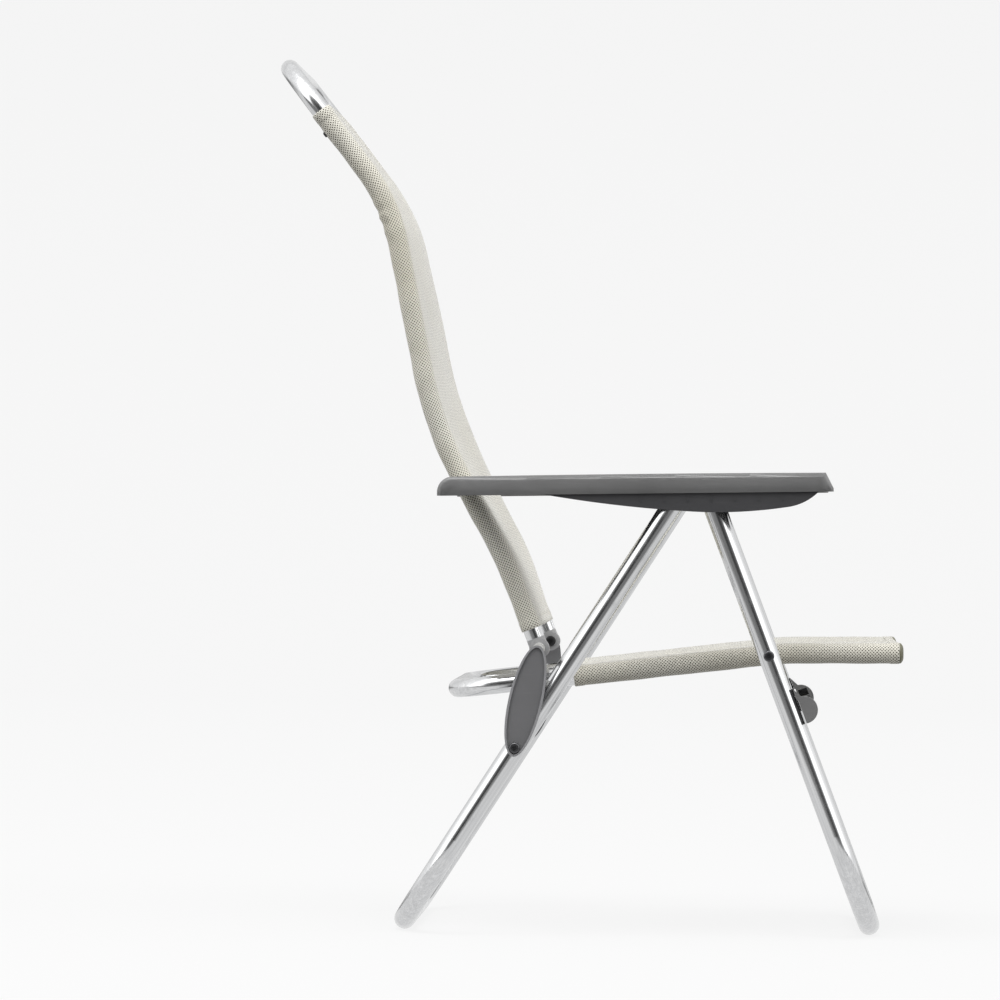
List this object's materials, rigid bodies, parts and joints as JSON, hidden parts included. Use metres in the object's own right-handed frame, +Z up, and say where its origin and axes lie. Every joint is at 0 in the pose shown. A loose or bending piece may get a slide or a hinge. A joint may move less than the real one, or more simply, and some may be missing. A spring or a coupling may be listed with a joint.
{
  "type": "folding camp chair",
  "caption": "High-backed folding camp chair with armrests: bent tube legs, seat and backrest frames, woven slings, and armrests that ride on racks to recline the back.",
  "frame": {"origin": "on the floor, in the middle of the chair's width and of its length", "axes": "+X is the front of the chair, +Y the sitter's left, +Z up"},
  "size_m": [0.7558, 0.6418, 1.0398],
  "materials": {
    "tube": "polished",
    "mesh_fabric": "woven",
    "grey_plastic": "satin",
    "armrest_plastic": "satin",
    "dark_plastic": "matte",
    "olive_plastic": "satin",
    "light_plastic": "satin",
    "black_steel": "black oxide",
    "steel": "zinc plated"
  },
  "bodies": {
    "rear_legs": {"rear_leg_frame": "tube", "rear_top_pins": "steel"},
    "links": {"link_cover_left": "grey_plastic", "link_cover_right": "grey_plastic", "link_plate_left": "grey_plastic", "link_plate_right": "grey_plastic", "link_lower_screws": "black_steel", "link_upper_pins": "black_steel", "link_upper_spacers": "light_plastic", "link_stops": "light_plastic", "link_stop_pins": "steel"},
    "bushes": {"backrest_bush_left": "light_plastic", "backrest_bush_right": "light_plastic"},
    "backrest": {"backrest_frame": "tube", "backrest_eye_left": "grey_plastic", "backrest_eye_right": "grey_plastic", "backrest_sling": "mesh_fabric", "sling_screws": "black_steel"},
    "arm_screws": {"armrest_pivot_screw_left": "black_steel", "armrest_pivot_screw_right": "black_steel"},
    "left_armrest": {"armrest_left": "armrest_plastic", "armrest_rack_left": "dark_plastic"},
    "right_armrest": {"armrest_right": "armrest_plastic", "armrest_rack_right": "dark_plastic"},
    "carriers": {"leg_carrier_left": "steel", "leg_carrier_right": "steel"},
    "front_legs": {"front_leg_frame": "tube", "front_top_pins": "steel", "front_pivot_screws": "black_steel", "front_pivot_spacers": "light_plastic", "front_pivot_nuts": "steel", "leg_clip_left": "grey_plastic", "leg_clip_right": "grey_plastic", "clip_screws": "black_steel"},
    "seat": {"seat_frame": "tube", "seat_sling": "mesh_fabric", "seat_spreader": "tube", "seat_end_cap_left": "olive_plastic", "seat_end_cap_right": "olive_plastic", "seat_pivot_studs": "steel"}
  },
  "joints": [
    {"name": "fold", "type": "hinge", "parent": "rear_legs", "child": "links", "pos_m": [-0.0816, 0, 0.223], "axis": [0, -1, 0], "range_deg": [0, 102]},
    {"name": "bush_turn", "type": "hinge", "parent": "links", "child": "bushes", "pos_m": [-0.0562, 0, 0.3392], "axis": [0, -1, 0], "range_deg": [-148.8, 0]},
    {"name": "recline", "type": "hinge", "parent": "bushes", "child": "backrest", "pos_m": [-0.0562, 0, 0.3392], "axis": [0, -1, 0], "range_deg": [0, 25]},
    {"name": "arm_screw_turn", "type": "hinge", "parent": "backrest", "child": "arm_screws", "pos_m": [-0.1459, 0, 0.5292], "axis": [0, -1, 0], "range_deg": [0, 72.4]},
    {"name": "left_armrest_turn", "type": "hinge", "parent": "arm_screws", "child": "left_armrest", "pos_m": [-0.1459, 0, 0.5292], "axis": [0, -1, 0], "range_deg": [-15, 1.2]},
    {"name": "right_armrest_turn", "type": "hinge", "parent": "arm_screws", "child": "right_armrest", "pos_m": [-0.1459, 0, 0.5292], "axis": [0, -1, 0], "range_deg": [-15, 1.2]},
    {"name": "carrier_turn", "type": "hinge", "parent": "rear_legs", "child": "carriers", "pos_m": [0.1076, 0, 0.5235], "axis": [0, -1, 0], "range_deg": [0, 25.6]},
    {"name": "front_leg_turn", "type": "hinge", "parent": "carriers", "child": "front_legs", "pos_m": [0.1455, 0, 0.5184], "axis": [0, -1, 0], "range_deg": [-65.2, 0]},
    {"name": "seat_turn", "type": "hinge", "parent": "front_legs", "child": "seat", "pos_m": [0.2165, 0, 0.335], "axis": [0, -1, 0], "range_deg": [0, 57.7]}
  ],
  "couplings": [
    {"joint": "bush_turn", "follows": "fold", "ratio": -1.4587},
    {"joint": "arm_screw_turn", "follows": "fold", "ratio": 0.7095},
    {"joint": "carrier_turn", "follows": "fold", "ratio": 0.2509},
    {"joint": "front_leg_turn", "follows": "fold", "ratio": -0.6389},
    {"joint": "seat_turn", "follows": "fold", "ratio": 0.5653},
    {"joint": "left_armrest_turn", "follows": "recline", "ratio": -0.5988},
    {"joint": "right_armrest_turn", "follows": "recline", "ratio": -0.5988}
  ]
}
